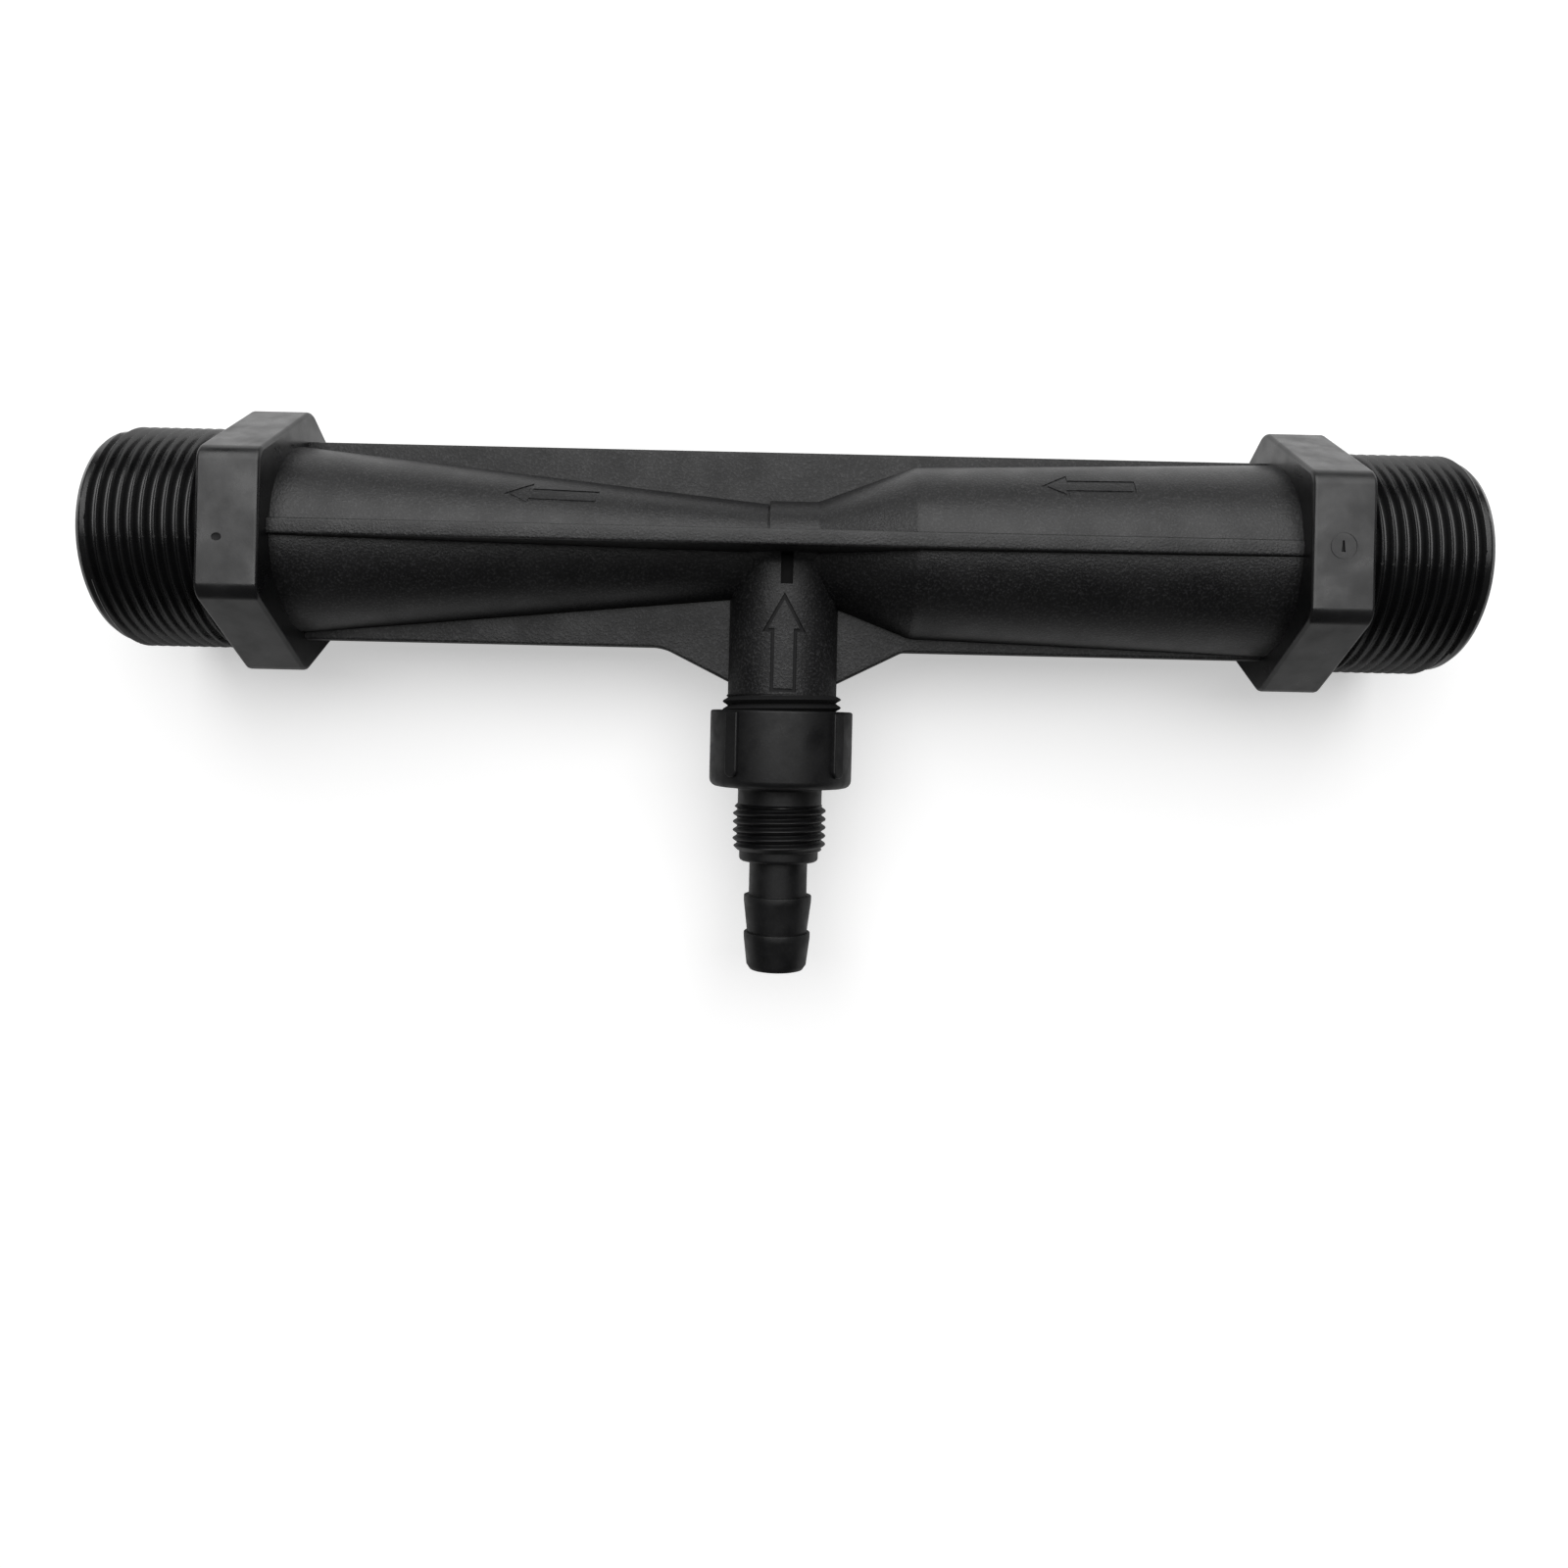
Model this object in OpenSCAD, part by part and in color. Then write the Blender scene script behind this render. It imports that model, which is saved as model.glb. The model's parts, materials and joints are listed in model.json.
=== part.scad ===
// Venturi injector for drawing liquid fertilizer into an irrigation line.
// It lies on the back flats of its hexagons: X runs along the tube from outlet to inlet,
// the suction port points to -Y, and the origin is under the middle of the whole part.

/* [Pipe ends] */
// Length of the body from thread end to thread end
overall_length = 285; // [250:1:340]
// Outside diameter of the pipe thread at each end
end_thread_d = 47.3; // [45:0.1:48.5]
// Length of each pipe thread, from the hexagon to the end
end_thread_length = 25.2; // [18:0.1:32]
// Length of the plain lead at the start of each pipe thread
end_lead_length = 2.4; // [1:0.1:4]
// Depth of the lead below the crest of the pipe thread
end_lead_depth = 1.7; // [0.8:0.1:2.4]
// Bore diameter at the open ends
end_bore_d = 36.8; // [32:0.1:38]

/* [Hexagons] */
// Width of each hexagon across its flats
hex_flats = 50; // [48.5:0.1:56]
// Width of each hexagon along the tube
hex_width = 12.8; // [8:0.1:18]
// Rounding of the six long edges
hex_corner_r = 3; // [0.5:0.1:5]

/* [Venturi tube] */
// Outside diameter of the outlet cone at its hexagon
outlet_cone_wide_d = 40.4; // [36:0.1:43]
// Outside diameter of the outlet cone where it meets the throat collar
outlet_cone_narrow_d = 20.6; // [18:0.1:21.6]
// Outside diameter of the throat collar
collar_d = 22; // [20.8:0.1:24]
// Length of the throat collar
collar_length = 10.4; // [6:0.1:16]
// How far the collar reaches past the suction axis towards the outlet
collar_reach = 3.4; // [1:0.1:5]
// Length of the inlet cone
inlet_cone_length = 20.4; // [14:0.1:30]
// Outside diameter of the inlet barrel at the inlet cone
barrel_narrow_d = 37.4; // [34:0.1:40]
// Outside diameter of the inlet barrel at its hexagon
barrel_wide_d = 41.8; // [38:0.1:43]
// Wall of the cones and the barrel
tube_wall = 3.6; // [2.5:0.1:4.5]
// Rounding where the tube runs into a hexagon
root_r = 0.8; // [0.5:0.1:3]

/* [Flow passage] */
// Diameter of the jet at the end of the inlet nozzle
jet_d = 11; // [7:0.1:12.4]
// Length of the straight jet
jet_length = 5; // [3:0.1:7]
// Diameter of the mixing space that the suction hole opens into
mixing_d = 13; // [12.6:0.1:14]
// Length of the mixing space, centred on the suction axis
mixing_length = 6.4; // [6.2:0.1:9]
// Chamfer at the mouth of every bore
mouth_chamfer = 0.8; // [0.3:0.1:1.5]

/* [Webs] */
// Thickness of the webs along the tube
web_thickness = 3.4; // [2:0.1:5]
// Distance from the tube's axis to the outer edge of the webs
web_reach = 21.6; // [21:0.1:23]
// Where the outlet side gusset starts, measured from the suction axis
gusset_outlet = 26.5; // [18:0.5:40]
// Where the inlet side gusset starts, measured from the suction axis
gusset_inlet = 26; // [18:0.5:40]
// Distance from the tube's axis to the tip of both gussets
gusset_tip = 29; // [25:0.1:31]

/* [Suction port] */
// Outside diameter of the suction port
port_d = 23.8; // [22:0.1:25]
// Distance from the tube's axis to the start of the port's thread
port_length = 32; // [31:0.1:40]
// Outside diameter of the port's thread
port_thread_d = 26; // [25.4:0.1:27]
// Length of the port's thread
port_thread_length = 14.5; // [10:0.1:20]
// Chamfer at both ends of the port's thread
port_thread_chamfer = 1; // [0.4:0.1:1.2]
// Diameter of the hole from the valve chamber to the throat
suction_hole_d = 6; // [4:0.1:6]
// Diameter of the valve chamber
chamber_d = 12.4; // [11.8:0.1:14]
// Distance from the tube's axis to the shoulder of the valve chamber
chamber_start = 20; // [17:0.1:24]
// Width of the recess in the front of the port, under the web
recess_width = 2.6; // [1.5:0.1:4]
// How far the recess lies off the suction axis, towards the inlet
recess_shift = 0.5; // [-1:0.1:1]
// Distance from the tube's axis to the end of the recess
recess_end = 8.3; // [5:0.1:12]
// Depth of the recess
recess_depth = 3.4; // [1:0.1:3.5]

/* [Suction cap] */
// Outside diameter of the cap
cap_d = 31.1; // [30:0.1:36]
// Length of the cap
cap_length = 16.6; // [14:0.1:17.8]
// Thickness of the cap's floor
cap_floor = 3.4; // [2.5:0.1:5]
// Rounding of the cap's lower edge
cap_edge_r = 1.7; // [0.5:0.1:2.2]
// Rounding of the cap's upper edge
cap_rim_r = 0.5; // [0.2:0.1:0.8]
// Number of grip ribs on the cap
grip_count = 4; // [2:1:8]
// Width of a grip rib
grip_width = 3.2; // [1.5:0.1:4]
// How far a grip rib stands out of the cap
grip_height = 0.8; // [0.4:0.1:1.5]
// Distance from the cap's lower face to the end of a grip rib
grip_stop = 2.4; // [2.3:0.1:5]
// Turn of the grip ribs about the cap's axis
grip_turn = 40.5; // [0:0.5:90]

/* [Hose tail] */
// Diameter of the neck below the cap
neck_d = 18.4; // [17:0.1:19.5]
// Length of the neck
neck_length = 3.7; // [2:0.1:8]
// Rounding between the neck and the cap
neck_root_r = 0.8; // [0.3:0.1:1.5]
// Outside diameter of the tail thread
tail_thread_d = 20.4; // [19.8:0.1:21]
// Length of the tail thread
tail_thread_length = 10.1; // [6:0.1:16]
// Chamfer at both ends of the tail thread
tail_thread_chamfer = 1; // [0.4:0.1:1.2]
// Diameter of the collar below the tail thread
tail_collar_d = 17.3; // [15:0.1:18]
// Length of the collar below the tail thread
tail_collar_length = 2.4; // [1.5:0.1:5]
// Rounding of the collar's lower edge
tail_collar_r = 0.8; // [0.3:0.1:1.2]
// Diameter of the plain stem that takes the hose clamp
stem_d = 12.7; // [12:0.1:13.2]
// Length of the plain stem
stem_length = 7.5; // [4:0.1:14]
// Largest diameter of the upper barb
barb_d = 14.8; // [14:0.1:16]
// How much smaller the lower barb is than the upper one
barb_step = 0.3; // [0:0.1:0.6]
// How much each barb tapers in diameter
barb_taper = 1.7; // [1:0.1:2.4]
// Length of each barb
barb_length = 8.05; // [5:0.05:11]
// Length of the straight land at the top of a barb
barb_land = 1.2; // [0.5:0.1:2]
// Number of barbs
barb_count = 2; // [1:1:4]
// Chamfered length at the tip of the tail
tip_length = 1; // [0.8:0.1:3]
// Depth of the chamfer at the tip of the tail
tip_depth = 0.7; // [0.4:0.1:1.6]
// Bore of the hose tail
tail_bore_d = 7; // [5.5:0.1:7.4]

/* [Check valve] */
// Diameter of the check ball
ball_d = 11; // [10.6:0.1:11.4]
// Mouth diameter of the conical ball seat in the cap
seat_mouth_d = 11; // [10:0.1:12]
// Gap between the ball and its seat
seat_gap = 0.15; // [0.05:0.05:0.3]
// Wire diameter of the check spring
wire_d = 0.9; // [0.6:0.1:1.2]
// Outside diameter of the check spring
spring_d = 9.1; // [8:0.1:10]
// Turns of the check spring, closed end turns included
spring_turns = 8; // [5:1:12]
// Gap between the spring and what it presses on
spring_gap = 0.2; // [0.05:0.05:0.3]

/* [Seal] */
// Thickness of the seal washer
washer_thickness = 1.6; // [1:0.1:3]
// Gap between the washer's outer edge and the cap
washer_gap = 0.4; // [0.1:0.1:1]
// Inner diameter of the seal washer
washer_bore_d = 14.5; // [14:0.1:17]

/* [Fits] */
// Gap between the port's thread and the inside of the cap
thread_gap = 0.25; // [0.1:0.05:0.4]

/* [Hidden] */
$fn = 96;
overlap = 0.5;
round_steps = 5;
wire_sides = 8;
spring_steps = 16;

// Stations along the tube, from the suction axis
end_x = overall_length / 2;
hex_out_x = end_x - end_thread_length;
hex_in_x = hex_out_x - hex_width;
collar_in_x = collar_length - collar_reach;
barrel_x = collar_in_x + inlet_cone_length;
mixing_x = mixing_length / 2;

// Stations down the suction port, from the tube's axis
port_end = port_length + port_thread_length;
floor_at = port_end + washer_thickness;
cap_bottom = floor_at + cap_floor;
cap_top = cap_bottom - cap_length;
thread_at = cap_bottom + neck_length;
tail_collar_at = thread_at + tail_thread_length;
stem_at = tail_collar_at + tail_collar_length;
barb_at = stem_at + stem_length;
tail_end = barb_at + barb_count * barb_length;

// Check valve: the ball stands seat_gap clear of a seat that opens at 45 degrees
seat_depth = (seat_mouth_d - tail_bore_d) / 2;
ball_at = floor_at + seat_mouth_d / 2 - (ball_d / 2 + seat_gap) * sqrt(2);
coil_r = (spring_d - wire_d) / 2;
spring_from = chamber_start + spring_gap;
spring_to = ball_at - sqrt(pow(ball_d / 2 + wire_d / 2 + spring_gap, 2) - pow(coil_r, 2)) + wire_d / 2;

// Place of the tube's axis above the ground, with the whole part centred on the origin
hex_edge_reach = (hex_flats / 2 - hex_corner_r) / cos(30) + hex_corner_r;
axis_y = (tail_end - hex_edge_reach) / 2;
axis_z = hex_flats / 2;

// Points of a quarter round about a centre, from one angle to another
function arc(centre, r, from, to) = [for (i = [0 : round_steps])
    centre + r * [cos(from + (to - from) * i / round_steps), sin(from + (to - from) * i / round_steps)]];

// Puts a shape that stands on +Z along the tube, towards the inlet
module along_tube() {
    translate([0, axis_y, axis_z]) rotate([0, 90, 0]) children();
}

// Puts a shape that stands on +Z down the suction port, away from the tube
module down_port() {
    translate([0, axis_y, axis_z]) rotate([90, 0, 0]) children();
}

// Turns an outline of [radius, station] points about the axis
module turned(points) {
    rotate_extrude() polygon(points);
}

// Hexagon with rounded long edges: straight flats and one round per corner
module rounded_hexagon() {
    centre_r = (hex_flats / 2 - hex_corner_r) / cos(30);
    polygon([for (k = [0 : 5], side = [-30, 30])
        centre_r * [cos(90 + 60 * k), sin(90 + 60 * k)]
        + hex_corner_r * [cos(90 + 60 * k + side), sin(90 + 60 * k + side)]]);
    for (k = [0 : 5]) {
        rotate(90 + 60 * k) translate([centre_r, 0]) circle(r = hex_corner_r);
    }
}

// Outside of the tube with both pipe threads at their crest diameter
module tube_outside() {
    crest = end_thread_d / 2;
    lead = crest - end_lead_depth;
    wide = outlet_cone_wide_d / 2;
    barrel = barrel_wide_d / 2;
    turned(concat(
        [[0, -end_x], [lead, -end_x], [crest, -end_x + end_lead_length], [crest, -hex_in_x - overlap],
         [wide + root_r, -hex_in_x - overlap]],
        arc([wide + root_r, -hex_in_x + root_r], root_r, 270, 180),
        [[outlet_cone_narrow_d / 2, -collar_reach], [collar_d / 2, -collar_reach],
         [collar_d / 2, collar_in_x], [barrel_narrow_d / 2, barrel_x]],
        arc([barrel + root_r, hex_in_x - root_r], root_r, 180, 90),
        [[barrel + root_r, hex_in_x + overlap], [crest, hex_in_x + overlap],
         [crest, end_x - end_lead_length], [lead, end_x], [0, end_x]]));
}

// Flow passage: inlet bore, nozzle, jet, mixing space and diffuser
module flow_passage() {
    mouth = end_bore_d / 2;
    turned([
        [0, -end_x - overlap],
        [mouth + mouth_chamfer + overlap, -end_x - overlap], [mouth, -end_x + mouth_chamfer],
        [mouth, -hex_out_x], [outlet_cone_wide_d / 2 - tube_wall, -hex_in_x],
        [mixing_d / 2, -mixing_x], [mixing_d / 2, mixing_x],
        [jet_d / 2, mixing_x], [jet_d / 2, mixing_x + jet_length],
        [barrel_narrow_d / 2 - tube_wall, barrel_x], [barrel_wide_d / 2 - tube_wall, hex_in_x],
        [mouth, hex_out_x], [mouth, end_x - mouth_chamfer],
        [mouth + mouth_chamfer + overlap, end_x + overlap], [0, end_x + overlap]]);
}

// Web in the plane of the suction port, with the two gussets that carry the port
module port_web() {
    translate([0, axis_y, axis_z - web_thickness / 2]) linear_extrude(web_thickness) polygon([
        [-hex_in_x - overlap, web_reach], [hex_in_x + overlap, web_reach],
        [hex_in_x + overlap, -web_reach], [gusset_inlet, -web_reach],
        [port_d / 2 - overlap, -gusset_tip], [overlap - port_d / 2, -gusset_tip],
        [-gusset_outlet, -web_reach], [-hex_in_x - overlap, -web_reach]]);
}

// Web square to the suction port, at the front and the back of the tube
module cross_web() {
    along_tube() translate([-web_reach, -web_thickness / 2, -hex_in_x - overlap])
        cube([2 * web_reach, web_thickness, 2 * (hex_in_x + overlap)]);
}

// Outside of the suction port with its thread at the crest diameter
module port_outside() {
    crest = port_thread_d / 2;
    root = crest - port_thread_chamfer;
    turned([[0, 0], [port_d / 2, 0], [port_d / 2, port_length], [root, port_length],
        [crest, port_length + port_thread_chamfer], [crest, port_end - port_thread_chamfer],
        [root, port_end], [0, port_end]]);
}

// Suction hole, and the chamber that holds the check ball and its spring
module port_passage() {
    cylinder(d = suction_hole_d, h = chamber_start + overlap);
    translate([0, 0, chamber_start]) cylinder(d = chamber_d, h = port_end - chamber_start + overlap);
}

// Recess in the front of the port, from the cross web down
module port_recess() {
    top = web_thickness / 2;
    translate([recess_shift - recess_width / 2, port_d / 2 - recess_depth, top])
        cube([recess_width, recess_depth + overlap, recess_end - top]);
}

module injector_body() {
    color("#262626") difference() {
        union() {
            along_tube() tube_outside();
            along_tube() translate([0, 0, hex_in_x]) linear_extrude(hex_width) rounded_hexagon();
            along_tube() translate([0, 0, -hex_out_x]) linear_extrude(hex_width) rounded_hexagon();
            port_web();
            cross_web();
            down_port() port_outside();
        }
        along_tube() flow_passage();
        down_port() port_passage();
        down_port() port_recess();
    }
}

// Outside of the cap, the tail thread at its crest diameter, and the hose tail
module cap_outside() {
    cap_r = cap_d / 2;
    crest = tail_thread_d / 2;
    turned(concat(
        [[0, cap_top]],
        arc([cap_r - cap_rim_r, cap_top + cap_rim_r], cap_rim_r, 270, 360),
        arc([cap_r - cap_edge_r, cap_bottom - cap_edge_r], cap_edge_r, 0, 90),
        arc([neck_d / 2 + neck_root_r, cap_bottom + neck_root_r], neck_root_r, 270, 180),
        [[neck_d / 2, thread_at], [crest - tail_thread_chamfer, thread_at],
         [crest, thread_at + tail_thread_chamfer], [crest, tail_collar_at - tail_thread_chamfer],
         [crest - tail_thread_chamfer, tail_collar_at], [tail_collar_d / 2, tail_collar_at]],
        arc([tail_collar_d / 2 - tail_collar_r, stem_at - tail_collar_r], tail_collar_r, 0, 90),
        [[stem_d / 2, stem_at], [stem_d / 2, barb_at]],
        [for (k = [0 : barb_count - 1]) each barb_points(k)],
        [[barb_r(barb_count - 1, barb_length - tip_length) - tip_depth, tail_end], [0, tail_end]]));
}

// Radius of a barb some way down it: a straight land, then a taper towards the tip
function barb_r(k, down) = (barb_d - k * barb_step
    - barb_taper * max(0, down - barb_land) / (barb_length - barb_land)) / 2;

// Outline of one barb from its sharp shoulder, with the last one cut short for the tip
function barb_points(k) = let (
    at = barb_at + k * barb_length,
    length = k == barb_count - 1 ? barb_length - tip_length : barb_length
) [[barb_r(k, 0), at], [barb_r(k, 0), at + barb_land], [barb_r(k, length), at + length]];

// Inside of the cap: the threaded socket, the ball seat and the bore of the hose tail
module cap_inside() {
    socket = port_thread_d / 2 + thread_gap;
    bore = tail_bore_d / 2;
    turned([[0, cap_top - overlap], [socket + mouth_chamfer + overlap, cap_top - overlap],
        [socket, cap_top + mouth_chamfer], [socket, floor_at], [seat_mouth_d / 2, floor_at],
        [bore, floor_at + seat_depth], [bore, tail_end - mouth_chamfer],
        [bore + mouth_chamfer + overlap, tail_end + overlap], [0, tail_end + overlap]]);
}

// Grip rib with a round lower end, standing out of the cap
module grip_rib() {
    reach = cap_d / 2 + grip_height;
    stop = cap_bottom - grip_stop - grip_width / 2;
    rotate([-90, 0, 0]) intersection() {
        union() {
            translate([-grip_width / 2, -stop, 0]) cube([grip_width, stop - cap_top - cap_rim_r, reach]);
            translate([0, -stop, 0]) cylinder(d = grip_width, h = reach);
        }
        translate([0, -cap_top, 0]) rotate([90, 0, 0]) cylinder(r = reach, h = cap_length);
    }
}

module suction_cap() {
    color("#202020") down_port() difference() {
        union() {
            cap_outside();
            for (k = [0 : grip_count - 1]) {
                rotate(grip_turn + k * 360 / grip_count) grip_rib();
            }
        }
        cap_inside();
    }
}

module seal_washer() {
    color("#3a3a3c") down_port() translate([0, 0, port_end]) difference() {
        cylinder(r = port_thread_d / 2 + thread_gap - washer_gap, h = washer_thickness);
        translate([0, 0, -overlap]) cylinder(d = washer_bore_d, h = washer_thickness + 2 * overlap);
    }
}

module check_ball() {
    color("#e8e4da") down_port() translate([0, 0, ball_at]) sphere(d = ball_d);
}

// Height of the wire's centre after a number of turns, with a closed turn at each end
function coil_height(turn) = let (
    open_turns = spring_turns - 2,
    open_pitch = (spring_to - spring_from - 3 * wire_d) / open_turns
) spring_from + wire_d / 2 + wire_d * min(turn, 1)
    + open_pitch * max(0, min(turn - 1, open_turns))
    + wire_d * max(0, turn - 1 - open_turns);

module check_spring() {
    rings = spring_turns * spring_steps;
    points = [for (i = [0 : rings], j = [0 : wire_sides - 1])
        let (a = 360 * i / spring_steps, b = 360 * j / wire_sides, r = coil_r + wire_d / 2 * cos(b))
        [r * cos(a), r * sin(a), coil_height(i / spring_steps) + wire_d / 2 * sin(b)]];
    sides = [for (i = [0 : rings - 1], j = [0 : wire_sides - 1])
        let (p = i * wire_sides + j, q = i * wire_sides + (j + 1) % wire_sides)
        each [[p, p + wire_sides, q], [q, p + wire_sides, q + wire_sides]]];
    first = [for (j = [0 : wire_sides - 1]) j];
    last = [for (j = [wire_sides - 1 : -1 : 0]) rings * wire_sides + j];
    color("#b9bcc0") down_port() polyhedron(points, concat(sides, [first, last]));
}

injector_body();
suction_cap();
seal_washer();
check_ball();
check_spring();
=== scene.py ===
import json
from math import ceil, cos, hypot, pi, radians, sqrt

import bmesh
import bpy
from mathutils import Matrix, Vector


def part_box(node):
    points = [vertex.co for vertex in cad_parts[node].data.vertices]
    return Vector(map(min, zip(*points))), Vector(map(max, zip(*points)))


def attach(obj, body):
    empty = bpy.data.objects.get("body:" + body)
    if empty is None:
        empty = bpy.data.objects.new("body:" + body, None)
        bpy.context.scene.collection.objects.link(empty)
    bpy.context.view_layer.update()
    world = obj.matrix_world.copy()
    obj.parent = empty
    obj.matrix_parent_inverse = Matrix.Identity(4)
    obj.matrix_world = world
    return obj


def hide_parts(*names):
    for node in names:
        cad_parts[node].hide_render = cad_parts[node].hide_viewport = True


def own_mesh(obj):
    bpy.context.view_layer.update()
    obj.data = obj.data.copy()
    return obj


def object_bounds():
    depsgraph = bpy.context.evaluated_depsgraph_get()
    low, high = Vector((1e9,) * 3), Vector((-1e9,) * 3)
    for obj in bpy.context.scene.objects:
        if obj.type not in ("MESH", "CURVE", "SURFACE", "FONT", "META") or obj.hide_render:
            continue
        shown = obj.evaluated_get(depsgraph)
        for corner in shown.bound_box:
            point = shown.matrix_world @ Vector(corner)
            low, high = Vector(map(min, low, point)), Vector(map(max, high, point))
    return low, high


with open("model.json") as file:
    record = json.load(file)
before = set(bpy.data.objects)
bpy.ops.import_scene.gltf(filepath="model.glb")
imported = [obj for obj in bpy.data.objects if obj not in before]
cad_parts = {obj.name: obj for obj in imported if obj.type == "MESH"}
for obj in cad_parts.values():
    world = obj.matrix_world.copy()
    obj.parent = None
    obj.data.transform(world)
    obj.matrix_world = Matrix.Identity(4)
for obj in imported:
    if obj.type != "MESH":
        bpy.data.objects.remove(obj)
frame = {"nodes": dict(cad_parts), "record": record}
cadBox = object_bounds()
print("frame loaded:", ", ".join(sorted(frame["nodes"])))

# All shapes are drawn in millimetres about the point where the suction axis crosses the tube's axis:
# X along the tube to the inlet, Y away from the suction port, Z up from the ground.
mm = 0.001
mounts = {mount["name"]: mount for mount in frame["record"]["mounts"]}
axisPlace = Vector((0, *mounts["inlet_thread"]["pos_m"][1:]))
toRow = Matrix.Translation(axisPlace) @ Matrix.Scale(mm, 4)
downPort = Matrix.Rotation(radians(-90), 4, "Z")      # turns +X to the suction port's -Y
turnRound = Matrix.Rotation(pi, 4, "Z")               # inlet end to outlet end
endX = cadBox[1].x / mm
hexFlat = axisPlace.z / mm                            # it lies on a flat, so this is half the width
tailEnd = (axisPlace.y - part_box("suction_cap")[0].y) / mm
joinDepth = 0.5                                       # how far joined shapes reach into each other
longestFace = 6                                       # along a turned shape
samePlace = 1e-3                                      # points closer than this are one point
edgeAngle = 32                                        # a sharper bend than this shows as an edge


# Mesh helpers

def outlineWire(bm, points):
    # points are (station, radius, rounding); a rounding is the length cut off along the edges
    verts = [bm.verts.new((point[0], 0, point[1])) for point in points]
    for pair in zip(verts, verts[1:]):
        bm.edges.new(pair)
    for vert, point in zip(verts, points):
        if len(point) > 2:
            bmesh.ops.bevel(bm, geom=[vert], offset=point[2], offset_type="OFFSET", segments=4,
                            profile=0.5, affect="VERTICES", material=-1)
    for edge in bm.edges[:]:                          # short faces keep the shading even round a joint
        cuts = int(edge.calc_length() / longestFace)
        if cuts:
            bmesh.ops.subdivide_edges(bm, edges=[edge], cuts=cuts)


def turned(points, steps=128):
    # solid of revolution about X; the outline starts and ends on the axis
    bm = bmesh.new()
    outlineWire(bm, points)
    bmesh.ops.spin(bm, geom=bm.verts[:] + bm.edges[:], cent=(0, 0, 0), axis=(1, 0, 0),
                   angle=2 * pi, steps=steps, use_merge=True)
    bmesh.ops.remove_doubles(bm, verts=bm.verts, dist=samePlace)
    bmesh.ops.recalc_face_normals(bm, faces=bm.faces)
    return bm


plainThread = {"shift": 0, "rim": 0, "rimDepth": 0, "crestSharpness": 1}


def threadedRod(settings):
    # right-hand thread: its whole profile spun once with a rise of one pitch, cut square and closed
    thread = {**plainThread, **settings}
    start, end, pitch, crest = (thread[key] for key in ("start", "end", "pitch", "crest"))
    spare = 1.5                                       # turns past each end, which the cuts take off
    first = start - spare * pitch + thread["shift"]
    turns = ceil((end - start) / pitch + 2 * spare)
    bm = bmesh.new()
    verts = []
    for k in range(turns * thread["waveSteps"] + 1):
        turn = k / thread["waveSteps"]
        # 0 in the root, 1 on the crest
        height = ((1 - cos(2 * pi * turn)) / 2) ** thread["crestSharpness"]
        verts.append(bm.verts.new((first + turn * pitch, 0, crest - thread["depth"] * (1 - height))))
    edges = [bm.edges.new(pair) for pair in zip(verts, verts[1:])]
    steps = thread["turnSteps"]
    bmesh.ops.spin(bm, geom=verts + edges, cent=(0, 0, 0), axis=(1, 0, 0), dvec=(pitch / steps, 0, 0),
                   angle=2 * pi, steps=steps, use_merge=False)
    bmesh.ops.remove_doubles(bm, verts=bm.verts, dist=samePlace)
    for at, side in ((start, -1), (end, 1)):
        bmesh.ops.bisect_plane(bm, geom=bm.verts[:] + bm.edges[:] + bm.faces[:], dist=samePlace,
                               plane_co=(at, 0, 0), plane_no=(side, 0, 0), clear_outer=True)
        rim = [e for e in bm.edges if e.is_boundary and all(abs(v.co.x - at) < samePlace for v in e.verts)]
        bmesh.ops.edgeloop_fill(bm, edges=rim)
    for vert in bm.verts:                             # plain rim, and lead cones that take the crests down
        inside = min((vert.co.x - start) / thread["leadIn"], (end - vert.co.x) / thread["leadOut"])
        limit = crest - thread["leadDepth"] * max(0, 1 - inside)
        radius = hypot(vert.co.y, vert.co.z)
        plain = end - vert.co.x < thread["rim"]
        vert.co.yz = vert.co.yz * (min(limit, crest - thread["rimDepth"] if plain else radius) / radius)
    bmesh.ops.recalc_face_normals(bm, faces=bm.faces)
    return bm


def raiseFaces(bm, height):
    # pulls flat faces straight up into a closed solid
    grown = bmesh.ops.extrude_face_region(bm, geom=bm.faces[:])
    moved = [item for item in grown["geom"] if isinstance(item, bmesh.types.BMVert)]
    bmesh.ops.translate(bm, vec=(0, 0, height), verts=moved)
    bmesh.ops.recalc_face_normals(bm, faces=bm.faces)


def levelEdges(bm):
    return [e for e in bm.edges if abs(e.verts[0].co.z - e.verts[1].co.z) < samePlace]


def block(size, centre, edge=0):
    bm = bmesh.new()
    bmesh.ops.create_cube(bm, size=1)
    bmesh.ops.scale(bm, vec=size, verts=bm.verts)
    bmesh.ops.translate(bm, vec=centre, verts=bm.verts)
    if edge:
        bmesh.ops.bevel(bm, geom=bm.edges[:], offset=edge, offset_type="OFFSET", segments=2,
                        profile=0.5, affect="EDGES", material=-1)
    return bm


def plate(corners, thickness, bottom, edge=0, rounded=None):
    # flat outline in XY, raised along Z; rounded gives {corner number: rounding}
    bm = bmesh.new()
    verts = [bm.verts.new((x, y, bottom)) for x, y in corners]
    bm.faces.new(verts)
    for number, size in (rounded or {}).items():
        bmesh.ops.bevel(bm, geom=[verts[number]], offset=size, offset_type="OFFSET", segments=6,
                        profile=0.5, affect="VERTICES", material=-1)
    raiseFaces(bm, thickness)
    if edge:
        bmesh.ops.bevel(bm, geom=levelEdges(bm), offset=edge, offset_type="OFFSET", segments=2,
                        profile=0.5, affect="EDGES", material=-1)
    return bm


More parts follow.
